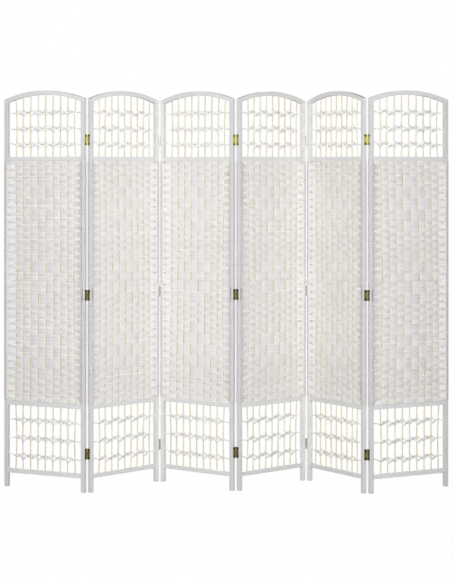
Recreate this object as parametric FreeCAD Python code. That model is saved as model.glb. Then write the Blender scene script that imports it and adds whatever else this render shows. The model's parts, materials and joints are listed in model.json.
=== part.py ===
import FreeCAD, Part
import math
import os

os.makedirs("parts", exist_ok=True)

# Frame of one panel: x along its width, front towards -y, z up from the floor
panel_width = 396.0
panel_height = 1700.0
arch_rise = 36.0
arch_thickness = 18.0
stile_width = 18.0
frame_depth = 18.0
stile_round = 2.0
foot_chamfer = 1.2
leg_length = 60.0
rail_height = 18.0
rail_round = 1.5
lower_lattice_height = 274.0
upper_lattice_height = 264.5
middle_rail_height = 5.0
middle_rail_depth = 9.0
middle_rail_share = 0.4993

# Tenons of the rails and of the stile tops
tenon_length = 8.0
tenon_shoulder = 3.0
middle_tenon_shoulder = 1.0
fit_clearance = 0.05

# Sticks that run from the bottom rail to the arch
stick_count = 9
stick_edge_gap = 33.2
stick_diameter = 5.0
stick_socket = 8.0

# Weave: two fields of cord wound round both stiles
weave_thickness = 11.0
weave_wrap = 1.2
field_rows = 32
window_margin = 3.0
window_web = 1.0
hinge_notch_inset = 6.0
hinge_notch_margin = 2.0

# Diamonds of the weave: first row, row count and reach to each side of the middle stick
upper_field_blocks = (
    (4, 3, 1), (7, 3, 2), (10, 3, 3), (13, 3, 2), (16, 3, 1),
    (24, 3, 1), (27, 3, 2), (30, 2, 3),
)
lower_field_blocks = (
    (0, 3, 2), (3, 3, 1),
    (11, 3, 1), (14, 3, 2), (17, 3, 3), (20, 3, 2), (23, 3, 1),
)

# Twined cord rows, placed by shares of the height of their open lattice
lower_row_shares = (0.208, 0.491, 0.774)
upper_row_shares = (0.195, 0.452, 0.709)
cord_diameter = 3.6
cord_swing = 9.5
cord_stand_off = 1.4
cord_crossing = 3.0
cord_lead = 10.0
cord_bend_share = 0.4

# Butt hinges: leaves let into the stile edges, barrel outside the face
hinge_low_height = 162.0
hinge_middle_share = 0.49
hinge_high_drop = 211.0
leaf_height = 46.0
leaf_width = 15.5
leaf_thickness = 1.1
leaf_recess = 0.6
pin_diameter = 2.5
pin_clearance = 0.05
pin_cap_diameter = 3.8
pin_cap_height = 0.8
pin_offset = 2.2
knuckle_count = 3
knuckle_gap = 0.25

# Countersunk hinge screws, two to a leaf
screw_end_margin = 5.5
screw_edge_margin = 5.5
screw_length = 12.0
screw_point = 2.5
screw_diameter = 2.4
screw_head_diameter = 7.2
screw_head_height = 1.0
screw_slot_width = 0.8
screw_slot_depth = 0.5

# Rest pose: turn of the first panel, then the fold at each joint, in degrees
first_panel_turn = -25.2
folds = (70.5, 82.6, 79.5, 98.0, 83.4)

# Extra length of every cutting tool
overrun = 5.0

# Sizes that follow from the values above
half_width = panel_width / 2
half_depth = frame_depth / 2
inner_half = half_width - stile_width
stile_middle = half_width - stile_width / 2
half_thickness = weave_thickness / 2
arch_radius = (half_width**2 + arch_rise**2) / (2 * arch_rise)
arch_under_radius = arch_radius - arch_thickness
arch_centre = panel_height - arch_radius
bottom_rail_top = leg_length + rail_height
lower_rail_base = bottom_rail_top + lower_lattice_height
lower_rail_top = lower_rail_base + rail_height
upper_rail_top = panel_height - arch_thickness - upper_lattice_height
upper_rail_base = upper_rail_top - rail_height
middle_rail_base = lower_rail_top + middle_rail_share * (upper_rail_base - lower_rail_top)
middle_rail_top = middle_rail_base + middle_rail_height
stick_pitch = 2 * (inner_half - stick_edge_gap) / (stick_count - 1)
stick_radius = stick_diameter / 2
hole_radius = stick_radius + fit_clearance
pin_radius = pin_diameter / 2
bore_radius = pin_radius + pin_clearance
barrel_radius = bore_radius + leaf_thickness
pin_x = half_width + barrel_radius - leaf_recess
pin_y = half_depth + pin_offset
knuckle_pitch = leaf_height / knuckle_count
hinge_heights = (hinge_low_height, hinge_middle_share * panel_height, panel_height - hinge_high_drop)
panel_count = len(folds) + 1


def vec(x, y, z):
    return FreeCAD.Vector(x, y, z)


def box(x0, x1, y0, y1, z0, z1):
    return Part.makeBox(x1 - x0, y1 - y0, z1 - z0, vec(x0, y0, z0))


def upright(x, y, radius, z0, z1):
    return Part.makeCylinder(radius, z1 - z0, vec(x, y, z0))


def arch_under(x):
    return arch_centre + math.sqrt(arch_under_radius**2 - x**2)


def stick_places():
    middle = (stick_count - 1) / 2
    return [(number - middle) * stick_pitch for number in range(stick_count)]


seat_height = arch_under(inner_half)


# Rectangle with rounded corners, drawn flat around the middle of the x axis
def rounded_face(width, depth, radius):
    a, b = width / 2, depth / 2
    corners = ((a - radius, b - radius, 0), (radius - a, b - radius, 90),
               (radius - a, radius - b, 180), (a - radius, radius - b, 270))
    arcs = []
    for x, y, turn in corners:
        arcs.append(Part.makeCircle(radius, vec(x, y, 0), vec(0, 0, 1), turn, turn + 90))
    edges = []
    for number, arc in enumerate(arcs):
        following = arcs[(number + 1) % len(arcs)]
        edges.append(arc)
        edges.append(Part.makeLine(arc.Vertexes[-1].Point, following.Vertexes[0].Point))
    return Part.Face(Part.Wire(edges))


def moved(shape, x, y, z):
    copy = shape.copy()
    copy.translate(vec(x, y, z))
    return copy


# Bar of rounded section that runs along x between the stiles
def rail_bar(depth, height, base):
    face = rounded_face(height, depth, rail_round)
    bar = face.extrude(vec(0, 0, 2 * inner_half))
    bar.rotate(vec(0, 0, 0), vec(0, 1, 0), 90)
    return moved(bar, -inner_half, 0, base + height / 2)


# Tenon or mortise of a rail at one end, with the play that a mortise needs
def rail_tenon(side, depth, height, base, shoulder, play):
    x0, x1 = sorted((side * (inner_half - overrun), side * (inner_half + tenon_length + play)))
    y = depth / 2 - shoulder + play
    return box(x0, x1, -y, y, base + shoulder - play, base + height - shoulder + play)


# Depth, height, underside and tenon shoulder of the four rails between the stiles
rails = {
    "bottom": (frame_depth, rail_height, leg_length, tenon_shoulder),
    "lower": (frame_depth, rail_height, lower_rail_base, tenon_shoulder),
    "middle": (middle_rail_depth, middle_rail_height, middle_rail_base, middle_tenon_shoulder),
    "upper": (frame_depth, rail_height, upper_rail_base, tenon_shoulder),
}


def stile_tenon(side, play):
    x = side * stile_middle
    a = stile_width / 2 - tenon_shoulder + play
    b = half_depth - tenon_shoulder + play
    base = seat_height - overrun
    top = seat_height + tenon_length - tenon_shoulder + play
    return box(x - a, x + a, -b, b, base, top)


# Screw along -x with its head level with the leaf; extra widens it into its own hole
def screw(extra):
    face_x = leaf_thickness - barrel_radius
    head = screw_head_diameter / 2 + extra
    shank = screw_diameter / 2 + extra
    neck_x = face_x - screw_head_height
    tip_x = face_x - screw_length - extra
    point_x = tip_x + screw_point
    points = [vec(face_x, 0, 0), vec(face_x, head, 0), vec(neck_x, shank, 0),
              vec(point_x, shank, 0), vec(tip_x, 0, 0), vec(face_x, 0, 0)]
    profile = Part.Face(Part.makePolygon(points))
    return profile.revolve(vec(0, 0, 0), vec(1, 0, 0), 360)


def screw_slot():
    face_x = leaf_thickness - barrel_radius
    a = screw_head_diameter / 2 + overrun
    b = screw_slot_width / 2
    return box(face_x - screw_slot_depth, face_x + overrun, -a, a, -b, b)


# Places of the two screws of a leaf around the middle of the hinge
def screw_places():
    y = screw_edge_margin - leaf_width
    z = leaf_height / 2 - screw_end_margin
    return [(y, -z), (y, z)]


# Leaf with its pin axis on z, plate towards -y and its stile towards -x
def leaf(own_knuckles):
    r = barrel_radius
    inner = leaf_thickness - r
    meet = -math.sqrt(r**2 - inner**2)
    half = leaf_height / 2
    plate = box(-r, inner, -leaf_width, -r - knuckle_gap, -half, half)
    outline = Part.Wire([
        Part.makeLine(vec(inner, -leaf_width, 0), vec(-r, -leaf_width, 0)),
        Part.makeLine(vec(-r, -leaf_width, 0), vec(-r, 0, 0)),
        Part.Arc(vec(-r, 0, 0), vec(r, 0, 0), vec(inner, meet, 0)).toShape(),
        Part.makeLine(vec(inner, meet, 0), vec(inner, -leaf_width, 0)),
    ])
    for number in own_knuckles:
        base = number * knuckle_pitch - half
        top = base + knuckle_pitch
        base += knuckle_gap / 2 if number > 0 else 0
        top -= knuckle_gap / 2 if number < knuckle_count - 1 else 0
        knuckle = Part.Face(outline).extrude(vec(0, 0, top - base))
        plate = plate.fuse(moved(knuckle, 0, 0, base))
    plate = plate.cut(upright(0, 0, bore_radius, -half - overrun, half + overrun))
    for y, z in screw_places():
        plate = plate.cut(moved(screw(fit_clearance), 0, y, z))
    return plate.removeSplitter()


# Puts a shape drawn around the pin axis on the panel's edge; face is +1 at the back, -1 in front
def on_edge(shape, side, face, height):
    copy = shape.copy()
    if side < 0:
        copy = copy.mirror(vec(0, 0, 0), vec(1, 0, 0))
    if face < 0:
        copy = copy.mirror(vec(0, 0, 0), vec(0, 1, 0))
    copy.translate(vec(side * pin_x, face * pin_y, height))
    return copy


# Face of the panel that the barrels of a joint stand outside: odd joints at the back
def joint_face(joint):
    return 1 if joint % 2 == 1 else -1


# Edges of a panel that carry hinges, with the face of each
def hinged_edges(panel):
    edges = []
    if panel > 1:
        edges.append((-1, joint_face(panel - 1)))
    if panel < panel_count:
        edges.append((1, joint_face(panel)))
    return edges


def stile(side, panel):
    body = rounded_face(stile_width, frame_depth, stile_round).extrude(vec(0, 0, seat_height))
    rim = [edge for edge in body.Edges if edge.BoundBox.ZMax < foot_chamfer / 2]
    body = body.makeChamfer(foot_chamfer, rim)
    body = moved(body, side * stile_middle, 0, 0)
    body = body.fuse(stile_tenon(side, 0))
    for depth, height, base, shoulder in rails.values():
        body = body.cut(rail_tenon(side, depth, height, base, shoulder, fit_clearance))
    for edge_side, face in hinged_edges(panel):
        if edge_side != side:
            continue
        for height in hinge_heights:
            half = leaf_height / 2 + fit_clearance
            recess = box(-barrel_radius, overrun, -leaf_width - fit_clearance, overrun, -half, half)
            body = body.cut(on_edge(recess, side, face, height))
            for y, z in screw_places():
                body = body.cut(on_edge(moved(screw(fit_clearance), 0, y, z), side, face, height))
    return body.removeSplitter()


def arch_rail():
    ring = Part.makeCylinder(arch_radius, frame_depth, vec(0, half_depth, arch_centre), vec(0, -1, 0))
    bore = Part.makeCylinder(arch_under_radius, frame_depth + 2 * overrun,
                             vec(0, half_depth + overrun, arch_centre), vec(0, -1, 0))
    span = box(-half_width, half_width, -half_depth, half_depth, seat_height, panel_height + overrun)
    rail = ring.cut(bore).common(span)
    long_edges = [edge for edge in rail.Edges if edge.Length > inner_half]
    rail = rail.makeFillet(rail_round, long_edges)
    for side in (-1, 1):
        rail = rail.cut(stile_tenon(side, fit_clearance))
    for x in stick_places():
        top = arch_under(x) + stick_socket
        rail = rail.cut(upright(x, 0, hole_radius, seat_height - overrun, top))
    return rail


# Slot that opens the hole of a stick in the middle rail: in front at every second stick, else at the back
def stick_notch(number, x):
    face = -1 if number % 2 == 1 else 1
    y0, y1 = sorted((0, face * (middle_rail_depth / 2 + overrun)))
    z0 = middle_rail_base - overrun
    return box(x - hole_radius, x + hole_radius, y0, y1, z0, middle_rail_top + overrun)


def cross_rails():
    bars = []
    for name, (depth, height, base, shoulder) in rails.items():
        bar = rail_bar(depth, height, base)
        for side in (-1, 1):
            bar = bar.fuse(rail_tenon(side, depth, height, base, shoulder, 0))
        floor = base + height - stick_socket if name == "bottom" else base - overrun
        for number, x in enumerate(stick_places()):
            bar = bar.cut(upright(x, 0, hole_radius, floor, base + height + overrun))
            if name == "middle":
                bar = bar.cut(stick_notch(number, x))
        bars.append(bar)
    return Part.makeCompound(bars)


def sticks():
    base = bottom_rail_top - stick_socket
    rods = [upright(x, 0, stick_radius, base, arch_under(x) + stick_socket) for x in stick_places()]
    return Part.makeCompound(rods)


# Plan of a weave field: a slab between the stiles and a wrap round each of them
def weave_plan():
    plan = Part.makePlane(2 * inner_half, weave_thickness, vec(-inner_half, -half_thickness, 0))
    outer = rounded_face(stile_width + 2 * weave_wrap, frame_depth + 2 * weave_wrap, stile_round + weave_wrap)
    inner = rounded_face(stile_width + 2 * fit_clearance, frame_depth + 2 * fit_clearance,
                         stile_round + fit_clearance)
    for side in (-1, 1):
        plan = plan.fuse(moved(outer, side * stile_middle, 0, 0))
    for side in (-1, 1):
        plan = plan.cut(moved(inner, side * stile_middle, 0, 0))
    for x in stick_places():
        hole = Part.Face(Part.Wire(Part.makeCircle(hole_radius, vec(x, 0, 0))))
        plan = plan.cut(hole)
    return plan.removeSplitter().Faces[0]


# Openings that show the sticks in the diamonds, in front and between them at the back
def weave_windows(top, row_height, blocks):
    middle = (stick_count - 1) // 2
    places = stick_places()
    half = stick_radius + window_margin
    cuts = []
    for first, rows, reach in blocks:
        z1 = top - first * row_height
        z0 = z1 - rows * row_height
        for number in range(middle - reach, middle + reach + 1):
            x = places[number]
            shown = (number - middle + reach) % 2 == 0
            face = -1 if shown else 1
            y0, y1 = sorted((face * window_web / 2, face * (half_thickness + overrun)))
            cuts.append(box(x - half, x + half, y0, y1, z0, z1))
    return cuts


def weave_field(base, top, blocks, panel):
    field = weave_plan().extrude(vec(0, 0, top - base))
    field = moved(field, 0, 0, base)
    cuts = weave_windows(top, (top - base) / field_rows, blocks)
    for side, face in hinged_edges(panel):
        x0, x1 = sorted((side * (half_width - hinge_notch_inset), side * (half_width + overrun)))
        y = half_depth + overrun
        reach = leaf_height / 2 + hinge_notch_margin
        for height in hinge_heights:
            if base < height < top:
                cuts.append(box(x0, x1, -y, y, height - reach, height + reach))
    return field.cut(cuts)


def weave(panel):
    upper = weave_field(middle_rail_top, upper_rail_base, upper_field_blocks, panel)
    lower = weave_field(lower_rail_top, middle_rail_base, lower_field_blocks, panel)
    return Part.makeCompound(upper.Solids + lower.Solids)


# Path of straight runs with a tangent arc at each corner, as large as the shorter run allows
def bent_path(corners):
    edges = []
    start = corners[0]
    for before, corner, after in zip(corners, corners[1:], corners[2:]):
        back = before - corner
        ahead = after - corner
        cut = cord_bend_share * min(back.Length, ahead.Length)
        back.normalize()
        ahead.normalize()
        inward = (back + ahead).normalize()
        half_angle = back.getAngle(ahead) / 2
        depth = cut / math.cos(half_angle) - cut * math.tan(half_angle)
        arc_start = corner + back * cut
        arc_end = corner + ahead * cut
        edges.append(Part.makeLine(start, arc_start))
        edges.append(Part.Arc(arc_start, corner + inward * depth, arc_end).toShape())
        start = arc_end
    edges.append(Part.makeLine(start, corners[-1]))
    return Part.Wire(edges)


# One strand of a twined row: in front of and below every second stick, behind and above the others
def strand(height, phase):
    reach = stick_radius + cord_stand_off + cord_diameter / 2
    last = stick_count - 1
    corners = []
    for number, x in enumerate(stick_places()):
        sign = -1 if (number + phase) % 2 == 0 else 1
        across = sign * cord_crossing
        if number == 0:
            corners.append(vec(-inner_half, across, height))
            corners.append(vec(cord_lead - inner_half, across, height))
        corners.append(vec(x, sign * reach, height + sign * cord_swing))
        if number < last:
            corners.append(vec(x + stick_pitch / 2, across, height))
        else:
            corners.append(vec(inner_half - cord_lead, across, height))
            corners.append(vec(inner_half, across, height))
    circle = Part.Wire(Part.makeCircle(cord_diameter / 2, corners[0], vec(1, 0, 0)))
    return bent_path(corners).makePipeShell([circle], True, False)


def lattice_cords():
    heights = [bottom_rail_top + share * lower_lattice_height for share in lower_row_shares]
    heights += [upper_rail_top + share * upper_lattice_height for share in upper_row_shares]
    return Part.makeCompound([strand(height, phase) for height in heights for phase in (0, 1)])


# Outer knuckles belong to the left panel's leaf, the middle one to the right panel's
def hinge_leaves(panel):
    outer = [number for number in range(knuckle_count) if number % 2 == 0]
    between = [number for number in range(knuckle_count) if number % 2 == 1]
    leaves = []
    for side, face in hinged_edges(panel):
        blank = leaf(outer if side > 0 else between)
        for height in hinge_heights:
            leaves.append(on_edge(blank, side, face, height))
    return Part.makeCompound(leaves)


def hinge_screws(panel):
    blank = screw(0).cut(screw_slot())
    screws = []
    for side, face in hinged_edges(panel):
        for height in hinge_heights:
            for y, z in screw_places():
                screws.append(on_edge(moved(blank, 0, y, z), side, face, height))
    return Part.makeCompound(screws)


# Pins of the joint on the right edge of a panel, with a cap at each end
def hinge_pins(panel):
    half = leaf_height / 2 + knuckle_gap
    pin = upright(0, 0, pin_radius, -half, half)
    for base in (half, -half - pin_cap_height):
        pin = pin.fuse(upright(0, 0, pin_cap_diameter / 2, base, base + pin_cap_height))
    pin = pin.removeSplitter()
    return Part.makeCompound([on_edge(pin, 1, joint_face(panel), z) for z in hinge_heights])


# Turn and place of each panel, joined at the pin axes from the left
def panel_places():
    places = []
    turn = first_panel_turn
    at = vec(0, 0, 0)
    for panel in range(1, panel_count + 1):
        if panel > 1:
            face = joint_face(panel - 1)
            turn += face * folds[panel - 2]
            spin = FreeCAD.Rotation(vec(0, 0, 1), turn)
            at = joint - spin.multVec(vec(-pin_x, face * pin_y, 0))
        spin = FreeCAD.Rotation(vec(0, 0, 1), turn)
        joint = at + spin.multVec(vec(pin_x, joint_face(panel) * pin_y, 0))
        places.append(FreeCAD.Placement(at, spin))
    return places


def main():
    shared = {"arch_rail": arch_rail(), "cross_rails": cross_rails(), "sticks": sticks(),
              "lattice_cords": lattice_cords()}
    nodes = {}
    for number, place in enumerate(panel_places()):
        panel = number + 1
        pieces = dict(shared)
        pieces["left_stile"] = stile(-1, panel)
        pieces["right_stile"] = stile(1, panel)
        pieces["weave"] = weave(panel)
        pieces["hinge_leaves"] = hinge_leaves(panel)
        pieces["hinge_screws"] = hinge_screws(panel)
        if panel < panel_count:
            pieces["hinge_pins"] = hinge_pins(panel)
        for name, shape in pieces.items():
            copy = shape.copy()
            copy.Placement = place.multiply(copy.Placement)
            nodes[f"{name}_{panel}"] = copy
    # The origin lies on the floor under the middle of the whole screen
    whole = FreeCAD.BoundBox()
    for shape in nodes.values():
        whole.add(shape.optimalBoundingBox(False, False))
    for name, shape in nodes.items():
        shape.translate(vec(-whole.Center.x, -whole.Center.y, -whole.ZMin))
        shape.exportStep(f"parts/{name}.step")
    print(len(nodes), "nodes", whole)


main()
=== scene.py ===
import json
import math

import bpy
import numpy as np
from mathutils import Matrix, Vector


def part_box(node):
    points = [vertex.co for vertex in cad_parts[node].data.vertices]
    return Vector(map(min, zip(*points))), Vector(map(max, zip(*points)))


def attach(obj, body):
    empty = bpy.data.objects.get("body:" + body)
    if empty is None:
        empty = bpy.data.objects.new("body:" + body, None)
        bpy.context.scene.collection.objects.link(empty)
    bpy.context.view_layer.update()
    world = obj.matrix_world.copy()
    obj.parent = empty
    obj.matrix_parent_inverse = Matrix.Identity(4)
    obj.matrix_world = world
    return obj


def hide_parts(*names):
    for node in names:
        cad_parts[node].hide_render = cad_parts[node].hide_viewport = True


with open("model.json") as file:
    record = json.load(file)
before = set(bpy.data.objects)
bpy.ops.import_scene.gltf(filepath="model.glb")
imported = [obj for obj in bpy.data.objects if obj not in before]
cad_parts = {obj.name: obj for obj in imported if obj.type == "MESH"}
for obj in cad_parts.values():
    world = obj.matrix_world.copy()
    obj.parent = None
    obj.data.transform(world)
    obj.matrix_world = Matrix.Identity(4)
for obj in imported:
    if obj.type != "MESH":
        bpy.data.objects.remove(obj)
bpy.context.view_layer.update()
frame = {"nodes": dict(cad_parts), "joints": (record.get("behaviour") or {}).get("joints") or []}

# Panel frame, in metres: x along the width, front towards -y, z up from the floor
panel_count = 6
first_panel_turn = math.radians(-25.2)
half_width = 0.198
stile_width = 0.018
half_depth = 0.009
stile_round = 0.002
rail_height = 0.018
arch_rise = 0.036
arch_thickness = 0.018
middle_rail_base = 0.884
middle_rail_top = 0.889
inner_half = half_width - stile_width
stile_middle = half_width - stile_width / 2

# Heights read from the frame, and the curve of the arch
panel_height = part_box("arch_rail_1")[1].z
leg_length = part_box("cross_rails_1")[0].z
lower_rail_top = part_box("weave_1")[0].z
upper_rail_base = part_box("weave_1")[1].z
upper_rail_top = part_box("cross_rails_1")[1].z
bottom_rail_top = leg_length + rail_height
lower_rail_base = lower_rail_top - rail_height
hinge_height = frame["joints"][0]["pos_m"][2]
hinge_low, hinge_high = (corner.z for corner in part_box("hinge_leaves_1"))
arch_radius = (half_width**2 + arch_rise**2) / (2 * arch_rise)
arch_under_radius = arch_radius - arch_thickness
arch_centre = panel_height - arch_radius

# Sticks: straight by design, bent sideways by the weave and by the twined rows
stick_count = 9
stick_pitch = 0.0367
stick_radius = 0.0025
stick_socket = 0.008
stick_sides = 10
stick_step = 0.012
stick_weave_lean = (0.009, 0.007, 0.006, 0.006, 0.008, 0.009, 0.005, 0.002, -0.005)
stick_lattice_lean = (0.0045, -0.0015, 0.0, 0.0, 0.0, 0.0, 0.0, -0.0015, -0.0042)
stick_low_fan = 0.004

# Unevenness of the sticks: waver and swell, with rates in radians per metre and starts in radians
stick_waver = 0.0006
stick_waver_rates = (9, 16)
stick_swell_share = 0.05
stick_swell_rates = (12, 20)
wave_starts = (0, 6)

# Drift of the sticks of each panel at the bottom, lower and upper rail and the arch, and its bow in the weave
foot_drift = (0.002, 0.0035, -0.002, 0.001, 0.001, 0.0045)
low_drift = (0.004, 0.0045, -0.002, 0.0035, 0.0005, 0.005)
high_drift = (0.0035, 0.003, 0.006, 0.0055, 0.001, 0.0)
arch_drift = (0.0045, 0.004, 0.0075, 0.0065, 0.001, 0.0)
weave_drift = (-0.003, -0.001, -0.005, 0.0, 0.0, 0.0035)

# Weft of the weave: four cords to a row
field_rows = 32
row_cords = 4
cord_sides = 6
cord_half_depth = 0.0015
cord_half_height = 0.00205
weft_front = 0.0016
weft_back = 0.0016
front_spread = 0.96
back_spread = 0.98
row_jitter = 0.0004
cord_jitter = 0.0002

# Where the points of a row lie, as shares of the gap between two sticks or between a stick and a stile
gap_shares = np.array((0.0, 0.11, 0.22, 0.35, 0.65, 0.78, 0.89))
end_gap_shares = np.array((0.0, 0.03, 0.09, 0.2, 0.5, 0.8, 0.91, 0.97))
dip_share = 0.45

# Ends of a row at the stiles, with powers that keep the dive, the rise and the fan close to the stile
weft_edge = 0.1815
weft_end = 0.1855
weft_stile_reach = 0.0098
weft_end_half_depth = 0.0008
stile_front_spread = 1.9
stile_back_spread = 0.7
late_dive = 20
late_rise = 1.5
late_fan = 3

# Diamonds: first row, row count and reach to each side of the middle stick
diamond_blocks = (
    (4, 3, 1), (7, 3, 2), (10, 3, 3), (13, 3, 2), (16, 3, 1),
    (24, 3, 1), (27, 3, 2), (30, 2, 3), (32, 3, 2), (35, 3, 1),
    (43, 3, 1), (46, 3, 2), (49, 3, 3), (52, 3, 2), (55, 3, 1),
)

# Cord wound round the stiles, in bands of two rows with a thin slit between them, notched at the hinges
wrap_crest = 0.0015
wrap_crest_low_share = 0.85
wrap_slit = 0.0009
wrap_notch_inset = 0.006
wrap_notch_reach = 0.0255
upper_first_slit = 0.5
lower_first_slit = 1.5
band_rows = 2
corner_shares = (0, 0.5, 1)

# Section of a turn of cord: distance outwards as a share of the crest, and height as a share of the turn
wrap_section = np.array(((-0.2, -0.5), (0.55, -0.42), (1.0, 0.0), (0.55, 0.42), (-0.2, 0.5)))

# Twined rows of the open lattices, as heights, with the lift of their left and right ends
twined_rows = (
    (1.605, 0.004, -0.001), (1.537, 0.000, -0.004), (1.469, 0.014, -0.001),
    (0.290, 0.004, -0.005), (0.2125, 0.000, -0.004), (0.135, 0.011, -0.002),
)
twine_swing = 0.0095
twine_radius = 0.0026
twine_tall_share = 1.25
twine_fan_share = 0.5
twine_stand_off = 0.0003
twine_crossing = 0.0024
twine_lead = 0.011
twine_sides = 9
twine_lobes = 3
twine_lobe_share = 0.10
twine_lay = 0.012
twine_end_share = 0.62
twine_start_share = -0.45
twine_end_lift_share = 0.1
route_order = 3
route_resolution = 2

# Lift of the upper and the lower strand from a stick to the next one: over a low gap, then over a high gap
twine_lift_shares = (
    (1.1, 0.85, 0.3, 0.1, 0.1, 0.35, 1.1, 1.0, 0.6, 0.45, 0.45, 0.65),
    (-1.1, -1.15, -0.75, -0.35, -0.3, -0.45, -1.15, -0.7, -0.15, 0.0, 0.0, -0.3),
)

random_seed = 11
random = np.random.default_rng(random_seed)


# Where each panel stands and how it is turned, from the arch rails and the joints of the frame
def panel_places():
    turn = first_panel_turn
    places = []
    for number in range(panel_count):
        low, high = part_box(f"arch_rail_{number + 1}")
        middle = (low + high) / 2
        spot = Matrix.Translation((middle.x, middle.y, 0))
        places.append(spot @ Matrix.Rotation(turn, 4, "Z"))
        if number < len(frame["joints"]):
            joint = frame["joints"][number]
            turn -= joint["axis"][2] * math.radians(joint["range_deg"][0])
    return places


# Collects swept tubes and turns them into one mesh
class TubeMesh:
    def __init__(self):
        self.points = []
        self.faces = []
        self.uvs = []
        self.count = 0

    # rings holds tube, step, side and coordinate; a closed tube joins its last ring to its first
    def add(self, rings, lengths, closed=False):
        tubes, steps, sides, _ = rings.shape
        index = np.arange(tubes * steps * sides).reshape(tubes, steps, sides) + self.count
        turn = np.broadcast_to(np.arange(sides + 1) / sides, (tubes, steps, sides + 1))
        along = np.broadcast_to(lengths[..., None], (tubes, steps, sides + 1))
        uv = np.stack([along, turn], axis=-1)
        wide = np.concatenate([index, index[:, :, :1]], axis=2)
        if closed:
            first_uv = uv[:, :1].copy()
            first_uv[..., 0] = 2 * uv[:, -1:, :, 0] - uv[:, -2:-1, :, 0]
            uv = np.concatenate([uv, first_uv], axis=1)
            wide = np.concatenate([wide, wide[:, :1]], axis=1)
        self.points.append(rings.reshape(-1, 3))
        self.faces.append(quads_of(wide[..., None]).reshape(-1, 4))
        self.uvs.append(quads_of(uv).reshape(-1, 4, 2))
        if not closed:
            for step, order in ((0, -1), (-1, 1)):
                cap = index[:, step, ::order]
                cap_uv = np.stack([along[:, step, :-1], turn[:, step, :-1]], axis=-1)
                self.faces.append(cap)
                self.uvs.append(cap_uv[:, ::order])
        self.count += tubes * steps * sides

    def build(self, name):
        mesh = bpy.data.meshes.new(name)
        points = np.concatenate(self.points)
        mesh.vertices.add(len(points))
        mesh.vertices.foreach_set("co", points.ravel())
        corners = np.concatenate([part.ravel() for part in self.faces])
        sizes = np.concatenate([np.full(len(part), part.shape[1]) for part in self.faces])
        starts = np.concatenate([[0], np.cumsum(sizes)[:-1]])
        mesh.loops.add(len(corners))
        mesh.loops.foreach_set("vertex_index", corners)
        mesh.polygons.add(len(sizes))
        mesh.polygons.foreach_set("loop_start", starts)
        layer = mesh.uv_layers.new(name="length_and_turn")
        layer.data.foreach_set("uv", np.concatenate([part.reshape(-1, 2) for part in self.uvs]).ravel())
        mesh.polygons.foreach_set("use_smooth", np.ones(len(sizes), dtype=bool))
        mesh.update(calc_edges=True)
        mesh.validate()
        thing = bpy.data.objects.new(name, mesh)
        bpy.context.scene.collection.objects.link(thing)
        return thing


# Four corners of every cell of a grid of rings
def quads_of(grid):
    return np.stack([grid[:, :-1, :-1], grid[:, 1:, :-1], grid[:, 1:, 1:], grid[:, :-1, 1:]], axis=3)


def path_lengths(path):
    steps = np.linalg.norm(np.diff(path, axis=1), axis=2)
    return np.concatenate([np.zeros((len(path), 1)), np.cumsum(steps, axis=1)], axis=1)


def unit(vectors):
    return vectors / np.linalg.norm(vectors, axis=-1, keepdims=True)


# Rings of a round or lobed tube around each path
def tube_rings(path, radii, shape, guide):
    ahead = unit(np.gradient(path, axis=1))
    side = unit(np.cross(ahead, np.array(guide)))
    upward = np.cross(side, ahead)
    across = shape[..., 0:1] * side[:, :, None] + shape[..., 1:2] * upward[:, :, None]
    return path[:, :, None] + radii[..., None, None] * across


def circle(sides):
    turn = np.arange(sides) * 2 * math.pi / sides
    return np.stack([np.cos(turn), np.sin(turn)], axis=-1)


def ease(share):
    return (1 - np.cos(math.pi * share)) / 2


def arch_under(x):
    return arch_centre + math.sqrt(arch_under_radius**2 - x**2)


def stick_x(number):
    return (number - (stick_count - 1) / 2) * stick_pitch


# Sideways place of a stick of a panel at a height: bowed between every two rails that hold it
def stick_bend(panel, number, z):
    low_fan = stick_low_fan * (number / (stick_count - 1) - 0.5)
    spans = (
        (bottom_rail_top, lower_rail_base, stick_lattice_lean[number]),
        (lower_rail_base, upper_rail_top, stick_weave_lean[number] + weave_drift[panel]),
        (upper_rail_top, arch_under(stick_x(number)), stick_lattice_lean[number]),
    )
    heights = [spans[0][0]] + [span[1] for span in spans]
    drifts = [foot_drift[panel], low_drift[panel] + low_fan, high_drift[panel], arch_drift[panel]]
    bend = np.interp(z, heights, drifts)
    for low, high, lean in spans:
        share = np.clip((z - low) / (high - low), 0, 1)
        bend = bend + lean * np.sin(math.pi * share)
    return stick_x(number) + bend


# A slow wave up a stick, with a rate and a start of its own
def slow_wave(z, rates):
    return np.sin(z * random.uniform(*rates) + random.uniform(*wave_starts))


def build_sticks(name, panel):
    tubes = TubeMesh()
    for number in range(stick_count):
        low = bottom_rail_top - stick_socket / 2
        high = arch_under(stick_x(number)) + stick_socket / 2
        z = np.linspace(low, high, round((high - low) / stick_step))
        waver = stick_waver * slow_wave(z, stick_waver_rates)
        path = np.stack([stick_bend(panel, number, z), waver, z], axis=-1)[None]
        swell = 1 + stick_swell_share * slow_wave(z, stick_swell_rates)
        rings = tube_rings(path, stick_radius * swell[None], circle(stick_sides), (0, 1, 0))
        tubes.add(rings, path_lengths(path))
    return tubes.build(name)


# True where the weft runs behind a stick, so that the stick shows; the stiles count as the end sticks
def stick_shows(row, number):
    middle = (stick_count + 1) // 2
    for first, rows, reach in diamond_blocks:
        if first <= row < first + rows and abs(number - middle) <= reach:
            return (number - middle + reach) % 2 == 0
    return (row + number) % 2 == (0 if row < field_rows else 1)


# Centre height and height of a row, counted from the top of the upper field
def row_place(row):
    if row < field_rows:
        height = (upper_rail_base - middle_rail_top) / field_rows
        return upper_rail_base - (row + 0.5) * height, height
    height = (middle_rail_base - lower_rail_top) / field_rows
    return middle_rail_base - (row - field_rows + 0.5) * height, height


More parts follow.
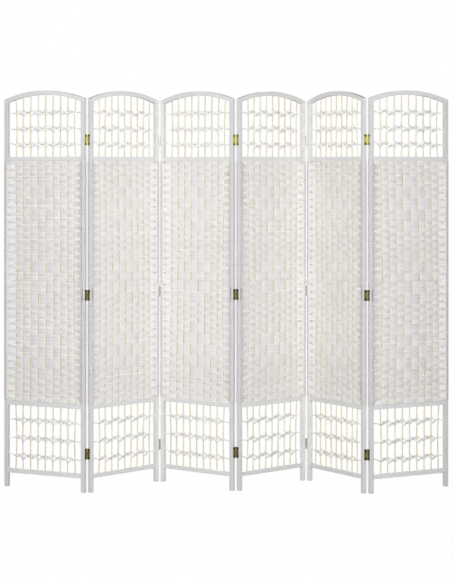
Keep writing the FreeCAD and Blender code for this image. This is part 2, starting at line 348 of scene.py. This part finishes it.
# How far the cords of a row fan out where they pass a stick or a stile
def station_spread(behind, at_stile):
    if at_stile:
        return stile_back_spread if behind else stile_front_spread
    return back_spread if behind else front_spread


# Blend from one station to the next: level in front, with a short dip behind a stick that shows
def dip_blend(shares, behind_first, behind_second):
    if behind_first == behind_second:
        return shares
    if behind_second:
        return ease(np.clip((shares - 1 + dip_share) / dip_share, 0, 1))
    return ease(np.clip(shares / dip_share, 0, 1))


def between(ends, shares):
    return ends[0] + (ends[1] - ends[0]) * shares


# Path of one row: places, spread of its cords and half depth of a cord, station by station
def row_path(panel, row):
    centre, _ = row_place(row)
    stations = [-weft_edge]
    stations += [float(stick_bend(panel, number, centre)) for number in range(stick_count)]
    stations += [weft_edge]
    behind = [stick_shows(row, number) for number in range(stick_count + 2)]
    last = stick_count + 1
    x, y, spread, depth = [], [], [], []
    for gap in range(last):
        near = gap == 0
        far = gap == last - 1
        shares = end_gap_shares if near or far else gap_shares
        blend = dip_blend(shares, behind[gap], behind[gap + 1])
        fan = shares
        if near:
            blend = 1 - (1 - shares)**(late_dive if behind[gap] else late_rise)
            fan = 1 - (1 - shares)**late_fan
        if far:
            blend = shares**(late_dive if behind[last] else late_rise)
            fan = shares**late_fan
        reaches, spreads, depths = [], [], []
        for station in (gap, gap + 1):
            at_stile = station in (0, last)
            reach = weft_back if behind[station] else weft_front
            reach = weft_stile_reach if at_stile else reach + random.normal(0, cord_jitter)
            reaches.append(reach if behind[station] else -reach)
            spreads.append(station_spread(behind[station], at_stile))
            depths.append(weft_end_half_depth if at_stile else cord_half_depth)
        x.append(between(stations[gap:gap + 2], shares))
        y.append(between(reaches, blend))
        spread.append(between(spreads, fan))
        depth.append(between(depths, fan))
    ends = [weft_stile_reach if behind[end] else -weft_stile_reach for end in (0, last)]
    x = np.concatenate([[-weft_end], *x, [weft_edge, weft_end]])
    y = np.concatenate([[ends[0]], *y, [ends[1], ends[1]]])
    end_spreads = [station_spread(behind[end], True) for end in (0, last)]
    spread = np.concatenate([end_spreads[:1], *spread, end_spreads[1:], end_spreads[1:]])
    depth = np.concatenate([[weft_end_half_depth], *depth, [weft_end_half_depth, weft_end_half_depth]])
    return x, y, spread, depth


def build_weft(name, panel, rows):
    tubes = TubeMesh()
    ring = circle(cord_sides)
    for row in rows:
        x, y, spread, depth = row_path(panel, row)
        centre, height = row_place(row)
        centre += random.normal(0, row_jitter)
        offsets = (np.arange(row_cords) - (row_cords - 1) / 2) * height / row_cords
        offsets = offsets[:, None] * spread + random.normal(0, cord_jitter, (row_cords, 1))
        depths = y + random.normal(0, cord_jitter, (row_cords, 1))
        path = np.stack([np.broadcast_to(x, offsets.shape), depths, centre + offsets], axis=-1)
        ahead = unit(np.gradient(path, axis=1) * np.array((1, 1, 0)))
        side = np.cross(ahead, np.array((0, 0, 1)))
        tall = cord_half_height * np.maximum(spread, 1)
        across = ring[:, 0:1] * depth[:, None, None] * side[:, :, None]
        upward = ring[:, 1:2] * tall[:, None, None] * np.array((0, 0, 1))
        tubes.add(path[:, :, None] + across + upward, path_lengths(path))
    return tubes.build(name)


# Outline of a stile in plan as points and outward directions, three to a corner
def stile_outline():
    flat_x = stile_width / 2 - stile_round
    flat_y = half_depth - stile_round
    points = []
    outward = []
    for quarter, (side_x, side_y) in enumerate(((1, 1), (-1, 1), (-1, -1), (1, -1))):
        for share in corner_shares:
            turn = (quarter + share) * math.pi / 2
            way = (math.cos(turn), math.sin(turn))
            points.append((side_x * flat_x + stile_round * way[0], side_y * flat_y + stile_round * way[1]))
            outward.append(way)
    return np.array(points), np.array(outward)


# Heights and widths of the turns that cover one field of the weave
def wrap_turns(base, top, first_slit):
    height = (top - base) / field_rows
    edges = [0]
    edge = first_slit
    while edge < field_rows:
        edges.append(edge)
        edge += band_rows
    edges.append(field_rows)
    turns = []
    for start, end in zip(edges, edges[1:]):
        count = max(1, round((end - start) * row_cords))
        room = (end - start) * height - wrap_slit
        for number in range(count):
            z = top - start * height - wrap_slit / 2 - (number + 0.5) * room / count
            turns.append((z, room / count))
    return turns


# Turns round one stile; side is 1 on the right and -1 on the left, and turns beside a hinge are open there
def build_wraps(name, side, hinged):
    tubes = TubeMesh()
    points, outward = stile_outline()
    notch_edge = stile_width / 2 - wrap_notch_inset
    first_inner_corner = 1 if side > 0 else 3
    numbers = np.arange(len(points))
    whole_turn = np.roll(numbers, -1)
    open_turn = np.roll(numbers, -first_inner_corner * len(corner_shares))
    open_turn = [point for point in open_turn if side * points[point][0] < notch_edge]
    turns = wrap_turns(middle_rail_top, upper_rail_base, upper_first_slit)
    turns += wrap_turns(lower_rail_top, middle_rail_base, lower_first_slit)
    for z, width in turns:
        notched = hinged and abs(z - hinge_height) < wrap_notch_reach
        chosen = open_turn if notched else whole_turn
        plan = points[chosen]
        away = outward[chosen]
        if notched:
            plan = np.concatenate([plan[:1], plan, plan[-1:]])
            away = np.concatenate([away[:1], away, away[-1:]])
            plan[0, 0] = side * notch_edge
            plan[-1, 0] = side * notch_edge
        crest = wrap_crest * random.uniform(wrap_crest_low_share, 1.0)
        lift = z + random.normal(0, cord_jitter)
        rings = np.zeros((1, len(plan), len(wrap_section), 3))
        out = wrap_section[:, 0] * crest
        rings[0, :, :, 0] = side * stile_middle + plan[:, 0:1] + away[:, 0:1] * out
        rings[0, :, :, 1] = plan[:, 1:2] + away[:, 1:2] * out
        rings[0, :, :, 2] = lift + wrap_section[:, 1] * width
        tubes.add(rings, path_lengths(rings[:, :, 2]), closed=not notched)
    return tubes.build(name)


# Places of one strand of a twined row along its sticks; the two strands open into an eye round each stick
def strand_path(panel, height, strand):
    places = [float(stick_bend(panel, number, height)) for number in range(stick_count)]
    reach = stick_radius + twine_stand_off + twine_radius
    lifts = twine_lift_shares[strand]
    steps = len(lifts) // 2
    front = 1 if strand == 0 else -1
    route = []
    for gap in range(stick_count - 1):
        half = (gap + 1) % 2
        for step in range(steps):
            share = step / steps
            x = places[gap] + (places[gap + 1] - places[gap]) * share
            y = front * math.cos(math.pi * (half + share)) * reach
            y += front * math.sin(math.pi * (half + share)) * twine_crossing
            lift = lifts[half * steps + step] if gap or step else twine_start_share
            route.append((x, y, height + twine_swing * lift))
    route.append((places[-1], -front * reach, height + twine_swing * twine_end_lift_share))
    return route, places


def build_twined_rows(name, panel):
    tubes = TubeMesh()
    for height, left_lift, right_lift in twined_rows:
        for strand in (0, 1):
            route, places = strand_path(panel, height, strand)
            if strand == 0:
                edge = inner_half + stile_round
                route.insert(0, (-edge, 0, height + left_lift))
                route.append((edge, 0, height + right_lift))
            else:
                route.insert(0, (places[0] - twine_lead, 0, height))
                route.append((places[-1] + twine_lead, 0, height))
            path = smooth_route(np.array(route))[None]
            lengths = path_lengths(path)
            ends = np.clip((np.abs(path[..., 0]) - abs(places[0])) / twine_lead + 0.5, 0, 1)
            radii = twine_radius * (1 - (1 - twine_end_share) * ends)
            turn = np.arange(twine_sides) * 2 * math.pi / twine_sides
            twist = turn + 2 * math.pi * lengths[..., None] / twine_lay
            swell = 1 + twine_lobe_share * np.cos(twine_lobes * twist)
            lift = np.clip(np.abs(path[..., 2:] - height) / twine_swing, 0, 1) * (1 - ends[..., None])
            tall = twine_tall_share * (1 + twine_fan_share * lift)
            shape = np.stack([tall * np.cos(turn) * swell, np.sin(turn) * swell], axis=-1)
            tubes.add(tube_rings(path, radii, shape, (0, 1, 0)), lengths)
    return tubes.build(name)


# Even points of a smooth spline that has the route as its control points
def smooth_route(route):
    curve = bpy.data.curves.new("route", "CURVE")
    curve.dimensions = "3D"
    spline = curve.splines.new("NURBS")
    spline.points.add(len(route) - 1)
    spline.points.foreach_set("co", np.column_stack([route, np.ones(len(route))]).ravel())
    spline.order_u = route_order
    spline.use_endpoint_u = True
    spline.resolution_u = route_resolution
    thing = bpy.data.objects.new("route", curve)
    bpy.context.scene.collection.objects.link(thing)
    bpy.context.view_layer.update()
    mesh = bpy.data.meshes.new_from_object(thing)
    points = np.zeros(3 * len(mesh.vertices))
    mesh.vertices.foreach_get("co", points)
    bpy.data.objects.remove(thing)
    bpy.data.curves.remove(curve)
    bpy.data.meshes.remove(mesh)
    return points.reshape(-1, 3)


# A new material, its nodes and its shader
def new_material(name):
    material = bpy.data.materials.new(name)
    material.use_nodes = True
    return material, material.node_tree, material.node_tree.nodes["Principled BSDF"]


# A new node; each input is a value or the output of another node
def add_node(tree, kind, inputs=None, **settings):
    node = tree.nodes.new(kind)
    for key, value in settings.items():
        setattr(node, key, value)
    for key, value in (inputs or {}).items():
        if isinstance(value, bpy.types.NodeSocket):
            tree.links.new(value, node.inputs[key])
        else:
            node.inputs[key].default_value = value
    return node


def math_node(tree, operation, first, second):
    return add_node(tree, "ShaderNodeMath", {0: first, 1: second}, operation=operation).outputs[0]


def noise(tree, place, scale, detail, stretch=(1, 1, 1)):
    mapping = add_node(tree, "ShaderNodeMapping", {"Vector": place, "Scale": stretch})
    node = add_node(tree, "ShaderNodeTexNoise",
                    {"Vector": mapping.outputs[0], "Scale": scale, "Detail": detail})
    return node.outputs["Fac"]


def ramp(tree, share, stops):
    node = add_node(tree, "ShaderNodeValToRGB", {"Fac": share})
    elements = node.color_ramp.elements
    while len(elements) < len(stops):
        elements.new(0.5)
    for element, (place, colour) in zip(elements, stops):
        element.position = place
        element.color = (*colour, 1)
    return node.outputs["Color"]


def bump(tree, shader, height, strength, distance):
    node = add_node(tree, "ShaderNodeBump",
                    {"Height": height, "Strength": strength, "Distance": distance})
    tree.links.new(node.outputs[0], shader.inputs["Normal"])


def object_place(tree):
    return add_node(tree, "ShaderNodeTexCoord").outputs["Object"]


def spread(tree, share, low, high):
    node = add_node(tree, "ShaderNodeMapRange", {"Value": share, "To Min": low, "To Max": high})
    return node.outputs[0]


def multiplied(tree, first, second):
    node = add_node(tree, "ShaderNodeMix", {"Factor": 1.0}, data_type="RGBA", blend_type="MULTIPLY")
    tree.links.new(first, node.inputs["A"])
    tree.links.new(second, node.inputs["B"])
    return node.outputs["Result"]


# Sum of two noises, where share is the part of the first
def blended(tree, first, second, share):
    return math_node(tree, "ADD", math_node(tree, "MULTIPLY", first, share),
                     math_node(tree, "MULTIPLY", second, 1 - share))


# Bumps are given as strength and depth in metres; patches, fibres and stains as scale and detail

# White satin paint: its colours, its gloss and the grain of the wood below it
paint_dark = (0.67, 0.665, 0.67)
paint_light = (0.74, 0.735, 0.74)
paint_stops = (0.3, 0.7)
paint_gloss = 0.12
paint_roughness = (0.58, 0.74)
paint_bump = (0.25, 0.0004)
paint_patches = (14.0, 3.0)
grain_detail = 6.0
grain_share = 0.6
upright_grain = (260, 260, 10)
level_grain = (16, 16, 260)
# Tones of the stiles: darker on the ridge and end stiles as painted shade, lighter in the valleys as painted
# light
upright_shade_tone = 0.94
valley_light_tone = 1.06
level_tone = 1.035


# Painted wood; stretch sets the direction in which the grain runs, and tone scales the brightness, which on
# the stiles is painted light and shade
def painted_wood(name, stretch, tone):
    material, tree, shader = new_material(name)
    place = object_place(tree)
    grain = noise(tree, place, 1.0, grain_detail, stretch)
    patches = noise(tree, place, *paint_patches)
    paints = [tuple(part * tone for part in paint) for paint in (paint_dark, paint_light)]
    colour = ramp(tree, blended(tree, grain, patches, grain_share), list(zip(paint_stops, paints)))
    tree.links.new(colour, shader.inputs["Base Color"])
    tree.links.new(spread(tree, patches, *paint_roughness), shader.inputs["Roughness"])
    shader.inputs["Specular IOR Level"].default_value = paint_gloss
    bump(tree, shader, grain, *paint_bump)
    return material


# Paper cord: colours of its grooves, darkened as painted shade, and of its faces, length of a twist and
# lowest tint of a single cord
cord_groove_shade = (0.74, 0.725, 0.735)
cord_face = (0.89, 0.875, 0.885)
wrap_groove_shade = (0.56, 0.55, 0.55)
wrap_face = (0.72, 0.71, 0.71)
twine_groove_shade = (0.78, 0.78, 0.80)
twine_face = (0.895, 0.895, 0.915)
cord_stops = (0.08, 0.38)
cord_twist = 0.007
twine_twist = 0.004
cord_tint = 0.93
wrap_tint = 0.95
twine_tint = 0.95
cord_gloss = 0.25
cord_roughness = (0.7, 0.9)
cord_bump = (0.35, 0.0006)
cord_fibres = (900.0, 3.0)
cord_fibre_share = 0.25

# Cool in the middle of a panel, cream beside the stiles, as shares of half the width
side_hues = [
    (0.70, (0.97, 0.965, 0.95)),
    (0.76, (1.0, 0.99, 0.95)),
    (0.90, (1.0, 0.99, 0.96)),
    (0.94, (0.99, 0.98, 1.0)),
]


# Twisted paper cord: its grooves, darkened as painted shade, follow the length and the turn of each tube
def paper_cord(name, groove_shade, face, twist, tint):
    material, tree, shader = new_material(name)
    uv = add_node(tree, "ShaderNodeUVMap", uv_map="length_and_turn").outputs[0]
    parts = add_node(tree, "ShaderNodeSeparateXYZ", {0: uv})
    along = math_node(tree, "MULTIPLY", parts.outputs[0], 1 / twist)
    ridges = math_node(tree, "PINGPONG", math_node(tree, "ADD", along, parts.outputs[1]), 0.5)
    place = object_place(tree)
    fibres = noise(tree, place, *cord_fibres)
    height = math_node(tree, "ADD", ridges, math_node(tree, "MULTIPLY", fibres, cord_fibre_share))
    # The grooves get the darker colour as painted shade
    colour = ramp(tree, height, list(zip(cord_stops, (groove_shade, face))))
    island = add_node(tree, "ShaderNodeNewGeometry").outputs["Random Per Island"]
    colour = multiplied(tree, colour, spread(tree, island, tint, 1.0))
    sideways = add_node(tree, "ShaderNodeSeparateXYZ", {0: place}).outputs[0]
    reach = math_node(tree, "ABSOLUTE", sideways, 0.0)
    hue = ramp(tree, math_node(tree, "DIVIDE", reach, half_width), side_hues)
    tree.links.new(multiplied(tree, colour, hue), shader.inputs["Base Color"])
    tree.links.new(spread(tree, fibres, *cord_roughness), shader.inputs["Roughness"])
    shader.inputs["Specular IOR Level"].default_value = cord_gloss
    bump(tree, shader, height, *cord_bump)
    return material


# Split bamboo: its colours, the tint of its open lengths and the painted shade on its woven lengths, and its
# fibres
bamboo_dark = (0.54, 0.485, 0.31)
bamboo_light = (0.77, 0.745, 0.57)
bamboo_stops = (0.3, 0.62)
bamboo_open = (1.0, 0.975, 0.87)
bamboo_woven_shade = (0.83, 0.83, 0.69)
bamboo_change = 0.005
bamboo_roughness = (0.45, 0.65)
bamboo_bump = (0.2, 0.0003)
bamboo_patches = (9.0, 3.0)
bamboo_fibre_detail = 5.0
bamboo_fibre_stretch = (900, 900, 12)
bamboo_fibre_share = 0.5


# Split bamboo, with painted shade where the weave hides it from the light
def bamboo(name):
    material, tree, shader = new_material(name)
    place = object_place(tree)
    fibres = noise(tree, place, 1.0, bamboo_fibre_detail, bamboo_fibre_stretch)
    patches = noise(tree, place, *bamboo_patches)
    mixed = blended(tree, fibres, patches, bamboo_fibre_share)
    colour = ramp(tree, mixed, list(zip(bamboo_stops, (bamboo_dark, bamboo_light))))
    height = add_node(tree, "ShaderNodeSeparateXYZ", {0: place}).outputs[2]
    weave_low = lower_rail_top / panel_height
    weave_high = upper_rail_base / panel_height
    # Painted shade on the lengths of stick inside the weave
    shade = ramp(tree, math_node(tree, "DIVIDE", height, panel_height), [
        (weave_low - bamboo_change, bamboo_open), (weave_low, bamboo_woven_shade),
        (weave_high, bamboo_woven_shade), (weave_high + bamboo_change, bamboo_open),
    ])
    tree.links.new(multiplied(tree, colour, shade), shader.inputs["Base Color"])
    tree.links.new(spread(tree, fibres, *bamboo_roughness), shader.inputs["Roughness"])
    bump(tree, shader, fibres, *bamboo_bump)
    return material


# Hinges on the ridges are brass and those in the valleys greyer; both are bright at the top and darker lower
# down as a painted reflection
brass_reflection_tones = ((0.15, (0.21, 0.18, 0.07)), (0.5, (0.20, 0.175, 0.07)), (0.85, (0.42, 0.40, 0.18)))
valley_grey_reflection_tones = ((0.15, (0.33, 0.325, 0.30)), (0.5, (0.36, 0.35, 0.33)), (0.85, (0.56, 0.55, 0.52)))
valley_joints = (frame["joints"][1], frame["joints"][3])
valley_reach = 0.03
brass_metal = 0.85
brass_roughness = (0.28, 0.5)
brass_bump = (0.15, 0.0003)
brass_stains = (160.0, 5.0)
brass_wear = (0.65, 1.25)
leaf_shade = 1.0
screw_shade = 0.03

# Places of the screws round each pin, and the painted shade round each screw, standing for its countersink
leaf_half_height = 0.023
hinge_heights = (hinge_low + leaf_half_height, hinge_height, hinge_high - leaf_half_height)
screw_ring = 0.0103
screw_rise = 0.0175
screw_shade_start = 0.0036
screw_shade_end = 0.0056
screw_shade_darkest = 0.15


def nearest_of(tree, distances):
    nearest = distances[0]
    for distance in distances[1:]:
        nearest = math_node(tree, "MINIMUM", nearest, distance)
    return nearest


# Level distance from the nearest hinge pin
def pin_distance(tree, place, joints):
    level = add_node(tree, "ShaderNodeVectorMath", {0: place, 1: (1, 1, 0)}, operation="MULTIPLY").outputs[0]
    distances = []
    for joint in joints:
        pin = (joint["pos_m"][0], joint["pos_m"][1], 0)
        node = add_node(tree, "ShaderNodeVectorMath", {0: level, 1: pin}, operation="DISTANCE")
        distances.append(node.outputs["Value"])
    return nearest_of(tree, distances)


# Painted shade round every screw of the hinge leaves, standing for the shadow in its countersink
def screw_painted_shade(tree, place, height):
    across = math_node(tree, "SUBTRACT", pin_distance(tree, place, frame["joints"]), screw_ring)
    rises = []
    for hinge in hinge_heights:
        rise = math_node(tree, "ABSOLUTE", math_node(tree, "SUBTRACT", height, hinge), 0.0)
        rises.append(math_node(tree, "ABSOLUTE", math_node(tree, "SUBTRACT", rise, screw_rise), 0.0))
    offset = add_node(tree, "ShaderNodeCombineXYZ", {0: across, 1: nearest_of(tree, rises)}).outputs[0]
    apart = add_node(tree, "ShaderNodeVectorMath", {0: offset}, operation="LENGTH").outputs["Value"]
    node = add_node(tree, "ShaderNodeMapRange", {"Value": apart, "From Min": screw_shade_start,
                                                 "From Max": screw_shade_end, "To Min": screw_shade_darkest})
    return node.outputs[0]


# Worn brass with a painted reflection by height and painted shade round the screws; shade scales its
# brightness
def brass(name, shade):
    material, tree, shader = new_material(name)
    place = object_place(tree)
    height = add_node(tree, "ShaderNodeSeparateXYZ", {0: place}).outputs[2]
    share = math_node(tree, "DIVIDE", height, panel_height)
    in_valley = math_node(tree, "LESS_THAN", pin_distance(tree, place, valley_joints), valley_reach)
    colour = add_node(tree, "ShaderNodeMix", {"Factor": in_valley}, data_type="RGBA")
    # Brighter towards the top as a painted reflection
    for socket, tones in (("A", brass_reflection_tones), ("B", valley_grey_reflection_tones)):
        shaded = [(stop, tuple(part * shade for part in tone)) for stop, tone in tones]
        tree.links.new(ramp(tree, share, shaded), colour.inputs[socket])
    stains = noise(tree, place, *brass_stains)
    worn_and_painted_light = multiplied(tree, colour.outputs["Result"], spread(tree, stains, *brass_wear))
    # Painted shade round the screws
    worn_and_painted_light = multiplied(tree, worn_and_painted_light, screw_painted_shade(tree, place, height))
    tree.links.new(worn_and_painted_light, shader.inputs["Base Color"])
    shader.inputs["Metallic"].default_value = brass_metal
    tree.links.new(spread(tree, stains, *brass_roughness), shader.inputs["Roughness"])
    bump(tree, shader, stains, *brass_bump)
    return material


def dress(thing, material):
    thing.data.materials.clear()
    thing.data.materials.append(material)


# Gives a built piece its place, its material and its panel, and hides the node of the frame that it replaces
def finish_piece(piece, place, number, node, material):
    piece.matrix_world = place
    dress(piece, material)
    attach(piece, f"panel_{number}")
    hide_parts(f"{node}_{number}")


weave_cord = paper_cord("weave_cord", cord_groove_shade, cord_face, cord_twist, cord_tint)
wrap_cord = paper_cord("wrap_cord", wrap_groove_shade, wrap_face, cord_twist, wrap_tint)
twine_cord = paper_cord("twine_cord", twine_groove_shade, twine_face, twine_twist, twine_tint)
stick_bamboo = bamboo("stick_bamboo")
# A shaded copy of the paint for the ridge and end stiles and a lit copy for the valley stiles: painted shade
# and painted light
shaded_upright_paint = painted_wood("shaded_upright_paint", upright_grain, upright_shade_tone)
lit_valley_paint = painted_wood("lit_valley_paint", upright_grain, valley_light_tone)
level_paint = painted_wood("level_paint", level_grain, level_tone)
leaf_brass = brass("leaf_brass", leaf_shade)
screw_brass = brass("screw_brass", screw_shade)

# Materials of the nodes that stay as they are in the frame
node_materials = {
    "left_stile": shaded_upright_paint,
    "right_stile": shaded_upright_paint,
    "arch_rail": level_paint,
    "cross_rails": level_paint,
    "hinge_leaves": leaf_brass,
    "hinge_pins": leaf_brass,
    "hinge_screws": screw_brass,
}
# Stiles in the valleys, which take the lit copy of the paint as painted light
valley_stiles = ("right_stile_2", "left_stile_3", "right_stile_4", "left_stile_5")

# Weave, twined rows and sticks, panel by panel
upper_rows = range(field_rows)
lower_rows = range(field_rows, 2 * field_rows)
for number, place in enumerate(panel_places(), start=1):
    weave_pieces = [
        build_weft(f"weft_upper_{number}", number - 1, upper_rows),
        build_weft(f"weft_lower_{number}", number - 1, lower_rows),
    ]
    wrap_pieces = [
        build_wraps(f"wraps_left_{number}", -1, number > 1),
        build_wraps(f"wraps_right_{number}", 1, number < panel_count),
    ]
    for piece in weave_pieces:
        finish_piece(piece, place, number, "weave", weave_cord)
    for piece in wrap_pieces:
        finish_piece(piece, place, number, "weave", wrap_cord)
    twine = build_twined_rows(f"twined_rows_{number}", number - 1)
    finish_piece(twine, place, number, "lattice_cords", twine_cord)
    bent = build_sticks(f"bent_sticks_{number}", number - 1)
    finish_piece(bent, place, number, "sticks", stick_bamboo)

for node, thing in frame["nodes"].items():
    kind = node.rsplit("_", 1)[0]
    if kind in node_materials:
        dress(thing, lit_valley_paint if node in valley_stiles else node_materials[kind])


# Floor, light and camera, in metres and watts
pure_white = (1.0, 1.0, 1.0, 1.0)
ambient_strength = 0.05
key_size = 2.4
key_lights = {
    "front_key": (Vector((-0.05, -4.3, 1.55)), 206.0),
    "rear_key": (Vector((0.0, 6.5, 1.8)), 370.0),
    "top_key": (Vector((0.0, 0.2, 5.0)), 20.0),
}
key_aim = Vector((0.0, 0.0, 0.9))
floor_size = 40.0
floor_white_share = 0.98
floor_bounce = (0.35, 0.35, 0.35, 1.0)
camera_place = Vector((-0.0007, -7.706, 1.3487))
image_height_px = 584
focal_px = 1792
horizon_rise_px = 119
sensor_size = 36.0


# One where the camera or a mirror sees the surface, and zero where it only gives light
def seen_rays(tree):
    path = add_node(tree, "ShaderNodeLightPath")
    seen = path.outputs["Is Camera Ray"]
    for name in ("Is Glossy Ray", "Is Transmission Ray"):
        seen = math_node(tree, "MAXIMUM", seen, path.outputs[name])
    return seen


def add_world():
    world = bpy.data.worlds.new("studio")
    bpy.context.scene.world = world
    world.use_nodes = True
    tree = world.node_tree
    tree.nodes.clear()
    ambient = add_node(tree, "ShaderNodeBackground", {"Color": pure_white, "Strength": ambient_strength})
    white = add_node(tree, "ShaderNodeBackground", {"Color": pure_white, "Strength": 1.0})
    mixed = add_node(tree, "ShaderNodeMixShader",
                     {0: seen_rays(tree), 1: ambient.outputs[0], 2: white.outputs[0]})
    output = add_node(tree, "ShaderNodeOutputWorld")
    tree.links.new(mixed.outputs[0], output.inputs["Surface"])


def add_floor():
    bpy.ops.mesh.primitive_plane_add(size=floor_size)
    floor = bpy.context.object
    floor.name = "floor"
    material = bpy.data.materials.new("floor")
    material.use_nodes = True
    tree = material.node_tree
    tree.nodes.clear()
    seen = seen_rays(tree)
    lit = add_node(tree, "ShaderNodeBsdfDiffuse", {"Color": pure_white})
    white = add_node(tree, "ShaderNodeEmission", {"Strength": 1.0})
    shown = add_node(tree, "ShaderNodeMixShader",
                     {0: floor_white_share, 1: lit.outputs[0], 2: white.outputs[0]})
    giving = add_node(tree, "ShaderNodeBsdfDiffuse", {"Color": floor_bounce})
    mixed = add_node(tree, "ShaderNodeMixShader", {0: seen, 1: giving.outputs[0], 2: shown.outputs[0]})
    output = add_node(tree, "ShaderNodeOutputMaterial")
    tree.links.new(mixed.outputs[0], output.inputs["Surface"])
    dress(floor, material)


def add_key_lights():
    for name, (place, power) in key_lights.items():
        light = bpy.data.lights.new(name, "AREA")
        light.shape = "SQUARE"
        light.size = key_size
        light.energy = power
        lamp = bpy.data.objects.new(name, light)
        lamp.location = place
        lamp.rotation_euler = (key_aim - place).to_track_quat("-Z", "Y").to_euler()
        bpy.context.scene.collection.objects.link(lamp)


def add_camera():
    data = bpy.data.cameras.new("camera")
    data.sensor_width = sensor_size
    data.lens = focal_px * sensor_size / image_height_px
    data.shift_y = -horizon_rise_px / image_height_px
    camera = bpy.data.objects.new("camera", data)
    camera.location = camera_place
    camera.rotation_euler = (math.pi / 2, 0, 0)
    bpy.context.scene.collection.objects.link(camera)
    bpy.context.scene.camera = camera


add_world()
add_floor()
add_key_lights()
add_camera()
bpy.context.scene.view_settings.view_transform = "Standard"

bpy.context.view_layer.update()
